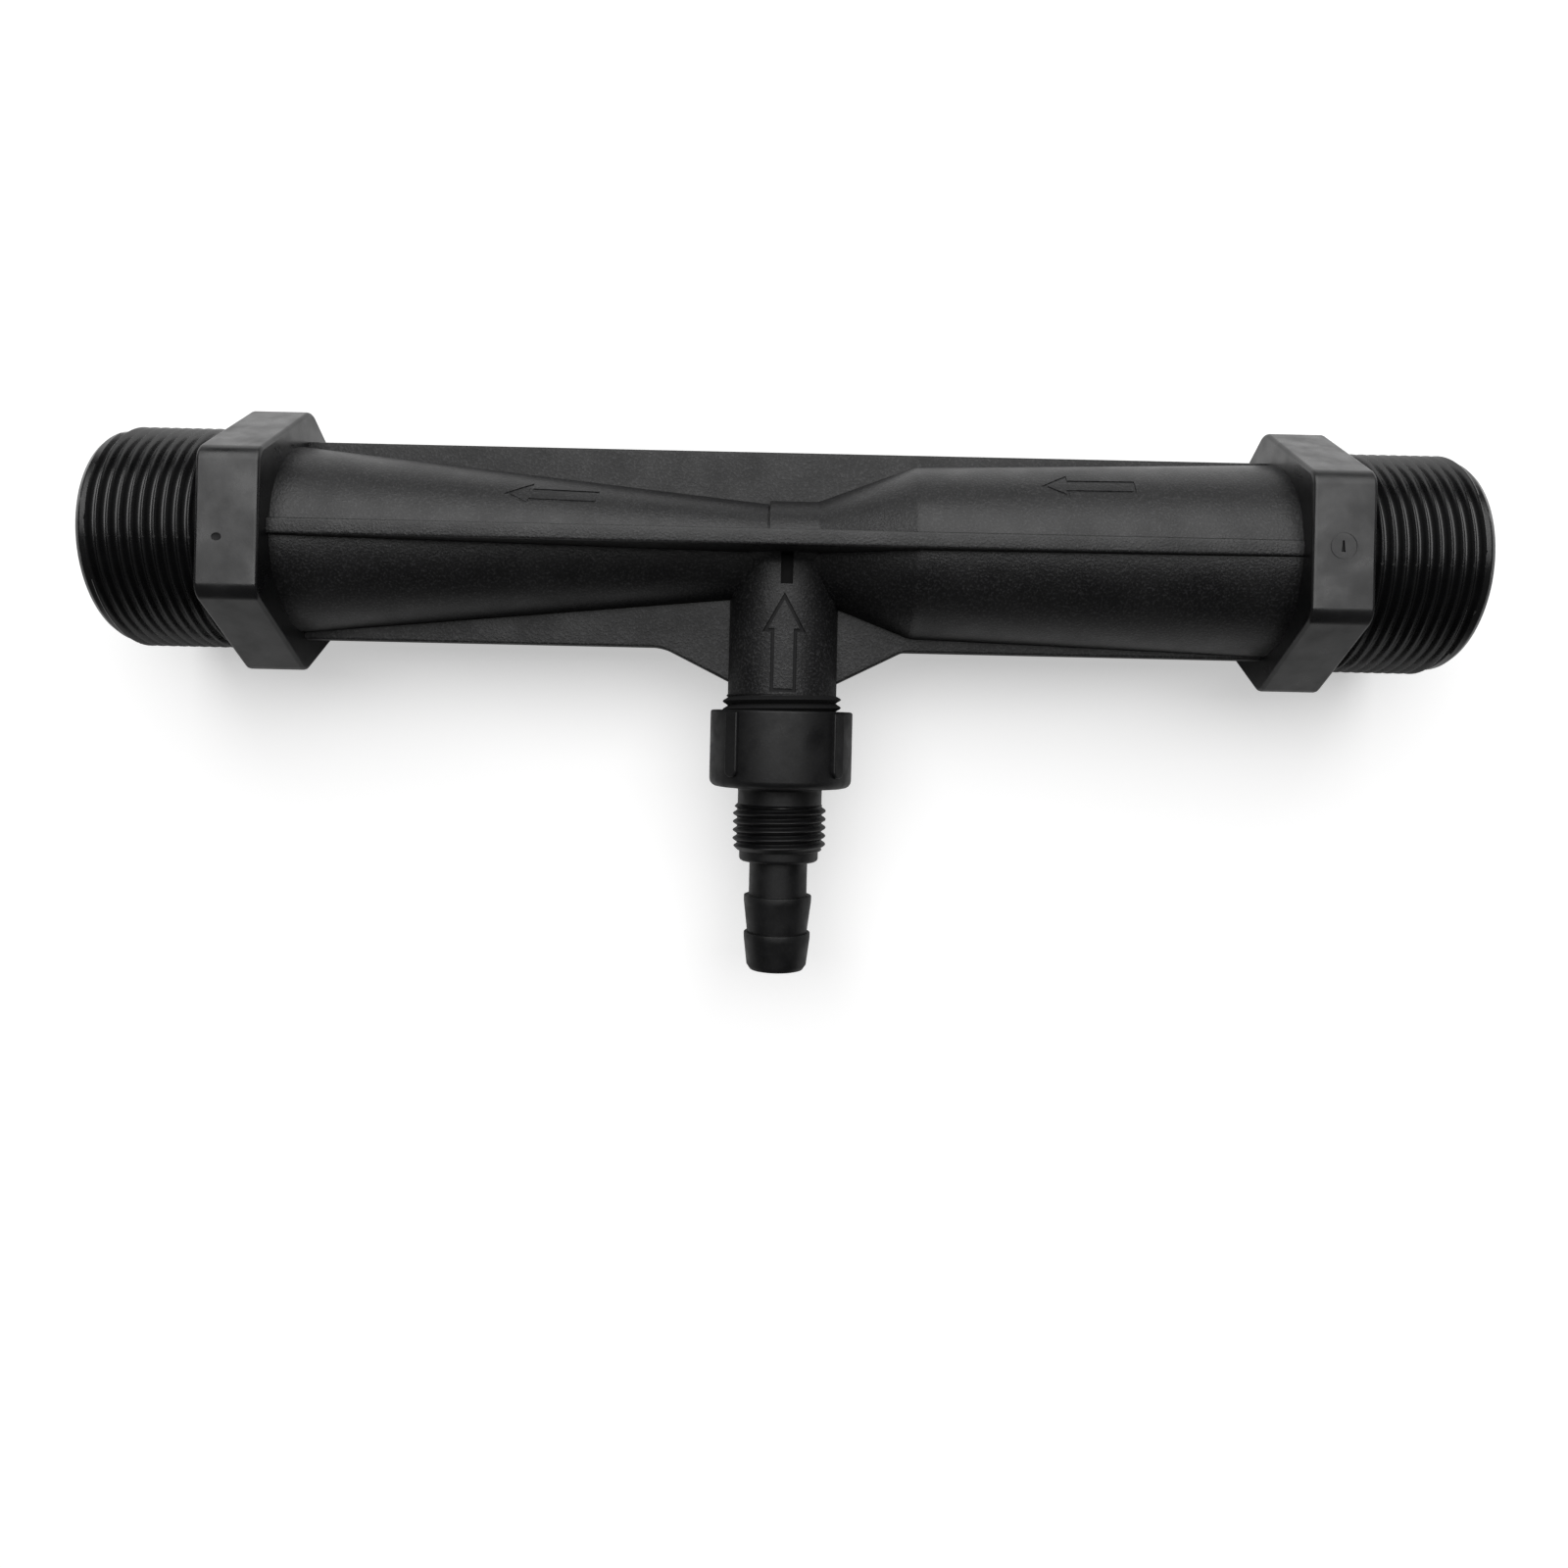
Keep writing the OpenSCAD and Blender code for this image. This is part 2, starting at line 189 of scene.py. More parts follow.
def raiseOutline(bm, line, height):
    # turns the one flat face into a closed line of even width that stands up from it
    face = bm.faces[:][0]
    bm.normal_update()
    bmesh.ops.inset_region(bm, faces=[face], thickness=line, use_boundary=True, use_even_offset=True)
    bmesh.ops.delete(bm, geom=[face], context="FACES")
    raiseFaces(bm, height)


def solid(bm, name, material, turn=None):
    # finishes a bmesh in millimetres as an object in the row's frame
    if turn:
        bmesh.ops.transform(bm, matrix=turn, verts=bm.verts)
    bmesh.ops.transform(bm, matrix=toRow, verts=bm.verts)
    mesh = bpy.data.meshes.new(name)
    bm.to_mesh(mesh)
    bm.free()
    mesh.materials.append(material)
    made = bpy.data.objects.new(name, mesh)
    bpy.context.scene.collection.objects.link(made)
    return made


def combine(base, others, operation):
    # joins, cuts or crosses solids, and removes the ones that were used up
    for other in others:
        step = base.modifiers.new(other.name, "BOOLEAN")
        step.object = other
        step.operation = operation
        step.solver = "MANIFOLD"
        step.material_mode = "TRANSFER"
    bpy.context.view_layer.update()
    result = bpy.data.meshes.new_from_object(base.evaluated_get(bpy.context.evaluated_depsgraph_get()))
    base.modifiers.clear()
    base.data = result
    for other in others:
        bpy.data.objects.remove(other)
    return base


def smooth(piece, angle=edgeAngle):
    # large faces keep their own direction, so that flats stay flat up to their rounded edges
    piece.data.shade_smooth()
    piece.data.set_sharp_from_angle(angle=radians(angle))
    even = piece.modifiers.new("evenShading", "WEIGHTED_NORMAL")
    even.keep_sharp = True


# Material helpers

def linear(hexText):
    # sRGB hex to linear colour
    parts = [int(hexText[k:k + 2], 16) / 255 for k in (1, 3, 5)]
    return [p / 12.92 if p <= 0.04045 else ((p + 0.055) / 1.055) ** 2.4 for p in parts] + [1]


def perMm(size):
    # texture scale for a feature of this size, on Object coordinates in metres
    return 1 / (size * mm)


def addNode(tree, kind, settings=None, links=None):
    node = tree.nodes.new(kind)
    for key, value in (settings or {}).items():
        if isinstance(key, int) or key in node.inputs:
            node.inputs[key].default_value = value
        else:
            setattr(node, key, value)
    for key, (source, output) in (links or {}).items():
        tree.links.new(source.outputs[output], node.inputs[key])
    return node


def newMaterial(name):
    material = bpy.data.materials.new(name)
    material.use_nodes = True
    material.node_tree.nodes.clear()
    return material, material.node_tree


moulded = {"ior": 1.49, "speckStart": 0.5, "speckFull": 0.75, "cloudLow": 0.3, "cloudHigh": 0.7}


def polypropylene(name, look):
    # black moulded polypropylene: a soft sheen over near black, broken by the mould's grain;
    # the real grain is finer, and is drawn this coarse so that it shows
    material, tree = newMaterial(name)
    place = addNode(tree, "ShaderNodeTexCoord")
    grain = addNode(tree, "ShaderNodeTexNoise",
                    {"Scale": perMm(look["grain"]), "Detail": 2, "Roughness": 0.6},
                    {"Vector": (place, "Object")})
    cloud = addNode(tree, "ShaderNodeTexNoise",
                    {"Scale": perMm(look["cloud"]), "Detail": 3, "Roughness": 0.55},
                    {"Vector": (place, "Object")})
    tint = addNode(tree, "ShaderNodeValToRGB", links={"Fac": (grain, "Fac")})
    tint.color_ramp.elements[0].position = moulded["speckStart"]
    tint.color_ramp.elements[0].color = linear(look["dark"])
    tint.color_ramp.elements[1].position = moulded["speckFull"]
    tint.color_ramp.elements[1].color = linear(look["light"])
    polish = addNode(tree, "ShaderNodeMapRange",
                     {"From Min": moulded["cloudLow"], "From Max": moulded["cloudHigh"],
                      "To Min": look["roughness"] - look["spread"],
                      "To Max": look["roughness"] + look["spread"]},
                     {"Value": (cloud, "Fac")})
    relief = addNode(tree, "ShaderNodeBump", {"Strength": 1, "Distance": look["relief"] * mm},
                     {"Height": (grain, "Fac")})
    skin = addNode(tree, "ShaderNodeBsdfPrincipled",
                   {"IOR": moulded["ior"], "Specular IOR Level": look["sheen"]},
                   {"Base Color": (tint, "Color"), "Roughness": (polish, "Result"),
                    "Normal": (relief, "Normal")})
    addNode(tree, "ShaderNodeOutputMaterial", links={"Surface": (skin, "BSDF")})
    return material


# Injector body

# tube and cross web: sparkling grain under a soft sheen
bodyLook = {"grain": 0.5, "cloud": 9, "relief": 0.09, "roughness": 0.44, "spread": 0.06,
            "sheen": 0.47, "dark": "#070708", "light": "#2e2e2f"}
# suction port and the web in its plane: the same grain, duller and more even
webLook = {"grain": 0.5, "cloud": 9, "relief": 0.09, "roughness": 0.5, "spread": 0.06,
           "sheen": 0.41, "dark": "#070708", "light": "#323233"}
# hexagons: smooth satin with faint clouds
hexLook = {"grain": 0.6, "cloud": 6, "relief": 0.008, "roughness": 0.34, "spread": 0.1,
           "sheen": 0.56, "dark": "#101011", "light": "#141415"}
# sunk marks, slot and port thread: dull, with hardly any sheen; this is painted shade, which keeps the
# recesses and the thread in the gap under the cap dark
slotShadeLook = {"grain": 0.6, "cloud": 4, "relief": 0.01, "roughness": 0.7, "spread": 0.05,
            "sheen": 0.3, "dark": "#111112", "light": "#161617"}
# end threads and passages: polished, with thin bright lines on the crests
threadLook = {"grain": 0.6, "cloud": 4, "relief": 0.012, "roughness": 0.28, "spread": 0.05,
              "sheen": 0.6, "dark": "#0b0b0c", "light": "#0f0f10"}
bodyPlastic = polypropylene("sparkGrainedPolypropylene", bodyLook)
webPlastic = polypropylene("dullGrainedPolypropylene", webLook)
hexPlastic = polypropylene("satinPolypropylene", hexLook)
threadPlastic = polypropylene("polishedPolypropylene", threadLook)
slotShadePlastic = polypropylene("roughSlotShadePolypropylene", slotShadeLook)

pipeEnd = {"threadLength": 25.2, "leadLength": 2.4, "leadDepth": 1.7, "boreRadius": 18.4,
           "pitch": 25.4 / 11, "threadDepth": 1.45, "crestSharpness": 1.15, "rim": 2.6, "rimDepth": 1,
           "seamWidth": 0.5, "seamDepth": 0.2, "seamTurn": 7.5}
hexagon = {"width": 12.8, "cornerRounding": 2.2, "endRounding": 0.8}
tube = {"outletWide": 20.2, "outletNarrow": 10.3, "collar": 11, "collarOut": 3.4, "collarIn": 7,
        "collarEdge": 0.15, "coneRounding": 0.6, "barrelStart": 27.4, "barrelNarrow": 18.7,
        "barrelWide": 20.9, "wall": 3.6, "groove": 0.45}
passage = {"jet": 5.5, "jetLength": 5, "mixing": 6.5, "mixingHalf": 3.2, "mouthChamfer": 0.8}
webs = {"thickness": 3.4, "reach": 21.6, "gussetOutlet": 26.5, "gussetInlet": 26, "gussetTip": 29,
        "edge": 0.65, "outletRounding": 2, "inletRounding": 0.6}
port = {"radius": 11.9, "length": 32, "endRounding": 0.3, "rootRounding": 2.6, "rootSunk": 0.1,
        "crest": 13, "threadLength": 14.5, "pitch": 25.4 / 14, "threadDepth": 1.16, "threadShift": -0.75,
        "threadLead": 1, "crestSharpness": 0.8, "hole": 3, "chamber": 6.2, "chamberStart": 20,
        "recessWidth": 2.6, "recessShift": 0.5, "recessEnd": 8.3, "recessDepth": 3.4}
hexOut = endX - pipeEnd["threadLength"]
hexIn = hexOut - hexagon["width"]
portEnd = port["length"] + port["threadLength"]
endCrest = mounts["inlet_thread"]["dims"]["r_mm"]


def tubeOutline(grow=0):
    # outlet cone, throat collar, inlet cone and barrel, let into the hexagons
    outlet, barrel = tube["outletWide"] + grow, tube["barrelWide"] + grow
    narrow, collar = tube["outletNarrow"] + grow, tube["collar"] + grow
    grooveStart = -tube["collarOut"] - tube["groove"]
    grooveFloor = narrow - tube["groove"]
    return [(-hexIn - joinDepth, 0), (-hexIn - joinDepth, outlet), (-hexIn, outlet), (grooveStart, narrow),
            (grooveStart, grooveFloor), (-tube["collarOut"], grooveFloor),
            (-tube["collarOut"], collar, tube["collarEdge"]),
            (tube["collarIn"], collar, tube["coneRounding"]),
            (tube["barrelStart"], tube["barrelNarrow"] + grow, tube["coneRounding"]), (hexIn, barrel),
            (hexIn + joinDepth, barrel), (hexIn + joinDepth, 0)]


def endThread():
    return threadedRod({"crest": endCrest, "depth": pipeEnd["threadDepth"], "pitch": pipeEnd["pitch"],
                        "start": hexOut - joinDepth, "end": endX, "leadIn": joinDepth,
                        "leadOut": pipeEnd["leadLength"], "leadDepth": pipeEnd["leadDepth"],
                        "rim": pipeEnd["rim"], "rimDepth": pipeEnd["rimDepth"],
                        "crestSharpness": pipeEnd["crestSharpness"], "turnSteps": 96, "waveSteps": 12})


def threadSeam(turn):
    # the mould's parting line, which nicks each crest along the front
    seam = block((endX - hexOut, pipeEnd["seamWidth"], 2 * joinDepth),
                 ((endX + hexOut) / 2, 0, endCrest - pipeEnd["seamDepth"] + joinDepth))
    offFront = Matrix.Rotation(radians(pipeEnd["seamTurn"]), 4, "X")
    return solid(seam, "threadSeam", threadPlastic, offFront @ turn)


def hexagonRing(centreX):
    bm = bmesh.new()
    bmesh.ops.create_circle(bm, cap_ends=True, segments=6, radius=hexFlat * 2 / sqrt(3))
    bmesh.ops.translate(bm, vec=(0, 0, -hexagon["width"] / 2), verts=bm.verts)
    raiseFaces(bm, hexagon["width"])
    level = levelEdges(bm)
    corners = [e for e in bm.edges if e not in level]
    bmesh.ops.bevel(bm, geom=corners, offset=hexagon["cornerRounding"], offset_type="OFFSET", segments=8,
                    profile=0.5, affect="EDGES", material=-1)
    bmesh.ops.bevel(bm, geom=levelEdges(bm), offset=hexagon["endRounding"], offset_type="OFFSET",
                    segments=3, profile=0.5, affect="EDGES", material=-1)
    bmesh.ops.rotate(bm, matrix=Matrix.Rotation(radians(90), 3, "Y"), verts=bm.verts)
    bmesh.ops.translate(bm, vec=(centreX, 0, 0), verts=bm.verts)
    return bm


def portWeb():
    reach, tip = webs["reach"], webs["gussetTip"]
    inside = port["radius"] - joinDepth
    end = hexIn + joinDepth
    return plate([(-end, reach), (-end, -reach), (-webs["gussetOutlet"], -reach), (-inside, -tip),
                  (inside, -tip), (webs["gussetInlet"], -reach), (end, -reach), (end, reach)],
                 webs["thickness"], -webs["thickness"] / 2, webs["edge"],
                 {2: webs["outletRounding"], 5: webs["inletRounding"]})


def crossWeb():
    return block((2 * (hexIn + joinDepth), webs["thickness"], 2 * webs["reach"]), (0, 0, 0), webs["edge"])


def portOutline():
    # plain tube with a fillet where it leaves the cross web
    root = webs["thickness"] / 2 - port["rootSunk"]
    wide = port["radius"] + port["rootRounding"] + joinDepth
    return [(0, 0), (0, wide), (root, wide), (root, port["radius"], port["rootRounding"]),
            (port["length"], port["radius"], port["endRounding"]), (port["length"], 0)]


def portThread():
    return threadedRod({"crest": port["crest"], "depth": port["threadDepth"], "pitch": port["pitch"],
                        "start": port["length"] - joinDepth, "end": portEnd, "shift": port["threadShift"],
                        "leadIn": joinDepth, "leadOut": port["threadLead"], "leadDepth": port["threadLead"],
                        "crestSharpness": port["crestSharpness"], "turnSteps": 60, "waveSteps": 6})


def portRecess():
    # slot in the front of the port, from the cross web down
    top = webs["thickness"] / 2
    past = port["rootRounding"] + joinDepth
    return block((port["recessWidth"], port["recessEnd"] - top, port["recessDepth"] + past),
                 (port["recessShift"], -(port["recessEnd"] + top) / 2,
                  port["radius"] + (past - port["recessDepth"]) / 2))


def flowOutline():
    # inlet bore, nozzle, jet, mixing space and diffuser, open at both ends
    mouth, chamfer = pipeEnd["boreRadius"], passage["mouthChamfer"]
    past = chamfer + joinDepth
    mixing, half = passage["mixing"], passage["mixingHalf"]
    wall = tube["wall"]
    return [(-endX - joinDepth, 0), (-endX - joinDepth, mouth + past), (-endX + chamfer, mouth),
            (-hexOut, mouth), (-hexIn, tube["outletWide"] - wall), (-half, mixing), (half, mixing),
            (half, passage["jet"]), (half + passage["jetLength"], passage["jet"]),
            (tube["barrelStart"], tube["barrelNarrow"] - wall), (hexIn, tube["barrelWide"] - wall),
            (hexOut, mouth), (endX - chamfer, mouth), (endX + joinDepth, mouth + past),
            (endX + joinDepth, 0)]


def valveOutline():
    return [(0, 0), (0, port["hole"]), (port["chamberStart"], port["hole"]),
            (port["chamberStart"], port["chamber"]), (portEnd + joinDepth, port["chamber"]),
            (portEnd + joinDepth, 0)]


# Plain marks sunk in the body: flow arrows, the suction arrow and the round dial on the inlet hexagon

marks = {"flowDepth": 0.15, "flowLine": 0.6, "suctionDepth": 0.4, "suctionLine": 0.75,
         "flowLength": 19.3, "flowHead": 5.6, "flowWide": 5.6, "flowShaft": 3,
         "outletTip": (-58.9, 9.1), "inletTip": (52.7, 12.7),
         "suctionX": 0.15, "suctionTip": 10.1, "suctionHead": 8.3, "suctionWide": 9.2, "suctionShaft": 5.5,
         "suctionEnd": 31}
dial = {"centre": (110.55, 0), "radius": 2.75, "line": 0.3, "depth": 0.12, "handLength": 2.3,
        "handTop": 0.35, "handFoot": 0.8, "handDepth": 0.4}
gateMark = {"centre": (-112.7, -3.1), "long": 1, "wide": 0.8, "depth": 0.2}


def arrowCorners(length, head, wide, shaft):
    # arrow with its tip at the origin, pointing to -X
    return [(0, 0), (head, -wide / 2), (head, -shaft / 2), (length, -shaft / 2),
            (length, shaft / 2), (head, shaft / 2), (head, wide / 2)]


def sunkLine(name, corners, line, material, surface, turn=None):
    # cutter for a groove whose floor follows the surface
    bm = bmesh.new()
    bm.faces.new([bm.verts.new((x, y, 0)) for x, y in corners])
    raiseOutline(bm, line, 2 * hexFlat)
    ridge = solid(bm, name, material)
    return combine(ridge, [solid(turned(surface), name + "Floor", material, turn)], "DIFFERENCE")


def flowMark(name, tip):
    corners = [(x + tip[0], y + tip[1]) for x, y in arrowCorners(
        marks["flowLength"], marks["flowHead"], marks["flowWide"], marks["flowShaft"])]
    return sunkLine(name, corners, marks["flowLine"], bodyPlastic, tubeOutline(-marks["flowDepth"]))


def suctionMark():
    arrow = arrowCorners(marks["suctionEnd"] - marks["suctionTip"], marks["suctionHead"],
                         marks["suctionWide"], marks["suctionShaft"])
    corners = [(marks["suctionX"] - y, -marks["suctionTip"] - x) for x, y in arrow]
    floor = port["radius"] - marks["suctionDepth"]
    return sunkLine("suctionArrow", corners, marks["suctionLine"], slotShadePlastic,
                    [(0, 0), (0, floor), (port["length"], floor), (port["length"], 0)], downPort)


def dialCuts():
    x, y = dial["centre"]
    ring = bmesh.new()
    bmesh.ops.create_circle(ring, cap_ends=True, segments=48, radius=dial["radius"])
    raiseOutline(ring, dial["line"], dial["depth"] + joinDepth)
    bmesh.ops.translate(ring, vec=(x, y, hexFlat - dial["depth"]), verts=ring.verts)
    half, top, foot = dial["handLength"] / 2, dial["handTop"] / 2, dial["handFoot"] / 2
    hand = plate([(x - foot, y - half), (x + foot, y - half), (x + top, y + half), (x - top, y + half)],
                 dial["handDepth"] + joinDepth, hexFlat - dial["handDepth"])
    return [solid(ring, "dialRing", hexPlastic), solid(hand, "dialHand", slotShadePlastic)]


def gateCut():
    bm = bmesh.new()
    bmesh.ops.create_icosphere(bm, subdivisions=3, radius=1)
    bmesh.ops.scale(bm, vec=(gateMark["long"], gateMark["wide"], gateMark["depth"]), verts=bm.verts)
    bmesh.ops.translate(bm, vec=(*gateMark["centre"], hexFlat), verts=bm.verts)
    return solid(bm, "gateDimple", slotShadePlastic)


def makeBody():
    body = solid(turned(tubeOutline()), "bodyMoulding", bodyPlastic)
    middle = (hexIn + hexOut) / 2
    combine(body, [solid(portWeb(), "portWeb", webPlastic), solid(crossWeb(), "crossWeb", bodyPlastic)],
            "UNION")
    suction = solid(turned(portOutline(), 96), "portTube", webPlastic, downPort)
    # the port thread, the suction arrow, the slot, the dial hand and the gate dimple take the dull slot
    # plastic, a painted shade that keeps them dark
    combine(body, [suction, solid(portThread(), "portThread", slotShadePlastic, downPort)], "UNION")
    combine(body, [flowMark("outletArrow", marks["outletTip"]), flowMark("inletArrow", marks["inletTip"]),
                   suctionMark(), solid(portRecess(), "portRecess", slotShadePlastic)], "DIFFERENCE")
    combine(body, [solid(endThread(), "inletThread", threadPlastic),
                   solid(endThread(), "outletThread", threadPlastic, turnRound),
                   solid(hexagonRing(middle), "inletHexagon", hexPlastic),
                   solid(hexagonRing(-middle), "outletHexagon", hexPlastic)], "UNION")
    combine(body, [solid(turned(flowOutline(), 96), "flowPassage", threadPlastic),
                   solid(turned(valveOutline(), 72), "valvePassage", threadPlastic, downPort),
                   threadSeam(Matrix.Identity(4)), threadSeam(turnRound), *dialCuts(), gateCut()],
            "DIFFERENCE")
    smooth(body)
    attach(body, "injector")
    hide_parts("injector_body")
    print("body moulding:", len(body.data.polygons), "faces")


# Suction cap with its hose tail

# cap and hose tail: smooth, with an uneven satin sheen
capLook = {"grain": 0.6, "cloud": 4, "relief": 0.015, "roughness": 0.47, "spread": 0.12,
           "sheen": 0.35, "dark": "#0d0d0e", "light": "#151516"}
# tail thread: the same plastic, a little more polished
tailLook = {"grain": 0.6, "cloud": 4, "relief": 0.012, "roughness": 0.4, "spread": 0.06,
            "sheen": 0.35, "dark": "#0b0b0c", "light": "#0f0f10"}
capPlastic = polypropylene("satinCapPolypropylene", capLook)
tailPlastic = polypropylene("satinTailPolypropylene", tailLook)

cap = {"radius": 15.55, "top": 34.9, "bottom": 51.5, "floor": 48.1, "rimRounding": 0.5, "edgeRounding": 1.7,
       "socket": 13.25, "seatMouth": 5.5, "bore": 3.5, "mouthChamfer": 0.8}
grip = {"count": 4, "width": 3.2, "height": 0.8, "stop": 49.1, "turn": 40.5, "edge": 0.35,
        "endRounding": 1.536}
tail = {"neck": 9.2, "neckRounding": 0.8, "threadStart": 55.2, "threadEnd": 65.3, "pitch": 25.4 / 14,
        "threadDepth": 0.95, "threadLead": 1, "core": 8.8, "collar": 8.65, "collarEnd": 67.7,
        "collarRounding": 0.8, "stem": 6.35, "barbStart": 75.2, "barb": 7.4, "barbStep": 0.15,
        "barbTaper": 0.85, "barbLength": 8.05, "barbLand": 1.2, "landRounding": 0.3, "shoulder": 0.15,
        "tipLength": 1, "tipDepth": 0.7}


def barbOutline(number, length):
    # sharp shoulder, short land, then a taper towards the tip
    start = tail["barbStart"] + number * tail["barbLength"]
    top = tail["barb"] - number * tail["barbStep"]
    slope = tail["barbTaper"] / (tail["barbLength"] - tail["barbLand"])
    return [(start, top, tail["shoulder"]), (start + tail["barbLand"], top, tail["landRounding"]),
            (start + length, top - slope * (length - tail["barbLand"]))]


def capOutline():
    second = barbOutline(1, tail["barbLength"] - tail["tipLength"])
    return [(cap["top"], 0), (cap["top"], cap["radius"], cap["rimRounding"]),
            (cap["bottom"], cap["radius"], cap["edgeRounding"]),
            (cap["bottom"], tail["neck"], tail["neckRounding"]),
            (tail["threadStart"], tail["neck"]), (tail["threadStart"], tail["core"]),
            (tail["threadEnd"] - joinDepth, tail["core"]), (tail["threadEnd"] - joinDepth, tail["collar"]),
            (tail["collarEnd"], tail["collar"], tail["collarRounding"]), (tail["collarEnd"], tail["stem"]),
            (tail["barbStart"], tail["stem"]), *barbOutline(0, tail["barbLength"]), *second,
            (tailEnd, second[-1][1] - tail["tipDepth"]), (tailEnd, 0)]


def socketOutline():
    # socket for the port's thread, conical ball seat, bore of the hose tail
    past = cap["mouthChamfer"] + joinDepth
    return [(cap["top"] - joinDepth, 0), (cap["top"] - joinDepth, cap["socket"] + past),
            (cap["top"] + cap["mouthChamfer"], cap["socket"]), (cap["floor"], cap["socket"]),
            (cap["floor"], cap["seatMouth"]), (cap["floor"] + cap["seatMouth"] - cap["bore"], cap["bore"]),
            (tailEnd - cap["mouthChamfer"], cap["bore"]), (tailEnd + joinDepth, cap["bore"] + past),
            (tailEnd + joinDepth, 0)]


def gripRib(number):
    top = cap["top"] + cap["rimRounding"]
    reach = cap["radius"] + grip["height"]
    depth = reach / 2                                 # the part inside the cap is hidden
    bm = block((grip["stop"] - top, grip["width"], depth), ((grip["stop"] + top) / 2, 0, reach - depth / 2))
    level = levelEdges(bm)
    corners = [e for e in bm.edges if e not in level
               and all(abs(v.co.x - grip["stop"]) < samePlace for v in e.verts)]
    bmesh.ops.bevel(bm, geom=corners, offset=grip["endRounding"], offset_type="OFFSET", segments=6,
                    profile=0.5, affect="EDGES", material=-1)
    rims = [e for e in bm.edges if all(abs(v.co.z - reach) < samePlace for v in e.verts)]
    bmesh.ops.bevel(bm, geom=rims, offset=grip["edge"], offset_type="OFFSET", segments=3,
                    profile=0.5, affect="EDGES", material=-1)
    turn = Matrix.Rotation(radians(grip["turn"] + number * 360 / grip["count"]), 4, "X")
    return solid(bm, "gripRib", capPlastic, downPort @ turn)


def tailThread():
    return threadedRod({"crest": mounts["tail_thread"]["dims"]["r_mm"], "depth": tail["threadDepth"],
                        "pitch": tail["pitch"], "start": tail["threadStart"], "end": tail["threadEnd"],
                        "leadIn": tail["threadLead"], "leadOut": tail["threadLead"],
                        "leadDepth": tail["threadLead"], "turnSteps": 72, "waveSteps": 10})


def makeCap():
    piece = solid(turned(capOutline(), 120), "suctionCap", capPlastic, downPort)
    ribs = [gripRib(number) for number in range(grip["count"])]
    combine(piece, [*ribs, solid(tailThread(), "tailThread", tailPlastic, downPort)], "UNION")
    combine(piece, [solid(turned(socketOutline(), 96), "capSocket", capPlastic, downPort)], "DIFFERENCE")
    smooth(piece)
    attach(piece, "injector")
    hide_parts("suction_cap")
    print("suction cap:", len(piece.data.polygons), "faces")


# Check spring: a closed turn at each end and open turns between them

spring = {"wire": 0.45, "coil": 4.1, "start": 20.2, "end": 41.5, "turns": 8, "turnSteps": 40, "lift": 4,
          "edgeAngle": 40}
wireLook = {"colour": "#b9bcc0", "dieMark": 0.25, "smoothest": 0.22, "roughest": 0.42}


def stainlessWire():
    # drawn stainless spring wire: bright metal with faint marks of the die, made coarse enough to show
    material, tree = newMaterial("drawnStainlessWire")
    place = addNode(tree, "ShaderNodeTexCoord")
    dieMarks = addNode(tree, "ShaderNodeTexNoise", {"Scale": perMm(wireLook["dieMark"]), "Detail": 2},
                       {"Vector": (place, "Object")})
    polish = addNode(tree, "ShaderNodeMapRange",
                     {"To Min": wireLook["smoothest"], "To Max": wireLook["roughest"]},
                     {"Value": (dieMarks, "Fac")})
    skin = addNode(tree, "ShaderNodeBsdfPrincipled",
                   {"Base Color": linear(wireLook["colour"]), "Metallic": 1},
                   {"Roughness": (polish, "Result")})
    addNode(tree, "ShaderNodeOutputMaterial", links={"Surface": (skin, "BSDF")})
    return material


def makeSpring():
    bm = bmesh.new()
    wire = 2 * spring["wire"]
    openTurns = spring["turns"] - 2
    # two closed turns rise by a wire each, and the wire's own thickness adds one more
    openPitch = (spring["end"] - spring["start"] - 3 * wire) / openTurns
    section = bmesh.ops.create_circle(bm, cap_ends=True, segments=12, radius=spring["wire"])["verts"]
    bmesh.ops.rotate(bm, matrix=Matrix.Rotation(radians(90), 3, "X"), verts=section)
    bmesh.ops.translate(bm, vec=(spring["start"] + spring["wire"], 0, spring["coil"]), verts=section)
    last = bm.faces[:]
    steps = spring["turnSteps"]
    for turns, pitch in ((1, wire), (openTurns, openPitch), (1, wire)):
        swept = bmesh.ops.spin(bm, geom=last, cent=(0, 0, 0), axis=(1, 0, 0), dvec=(pitch / steps, 0, 0),
                               angle=2 * pi * turns, steps=steps * turns, use_merge=False)
        last = swept["geom_last"]                     # with its edges, so that no face stays inside the wire
    bmesh.ops.remove_doubles(bm, verts=bm.verts, dist=samePlace)
    bmesh.ops.recalc_face_normals(bm, faces=bm.faces)
    piece = solid(bm, "springWire", stainlessWire(), downPort)
    smooth(piece, spring["edgeAngle"])
    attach(piece, "injector")
    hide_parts("check_spring")
    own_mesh(piece)
    print("check spring:", len(piece.data.polygons), "faces")


# Seal washer and check ball keep their frame shapes and get their finish here

rubberLook = {"dark": "#1d1d1e", "light": "#2a2a2b", "grain": 0.3, "relief": 0.01, "roughness": 0.75,
              "ior": 1.52}
acetalLook = {"dark": "#e2ddd0", "light": "#ece8de", "cloud": 3, "roughness": 0.25, "ior": 1.48}


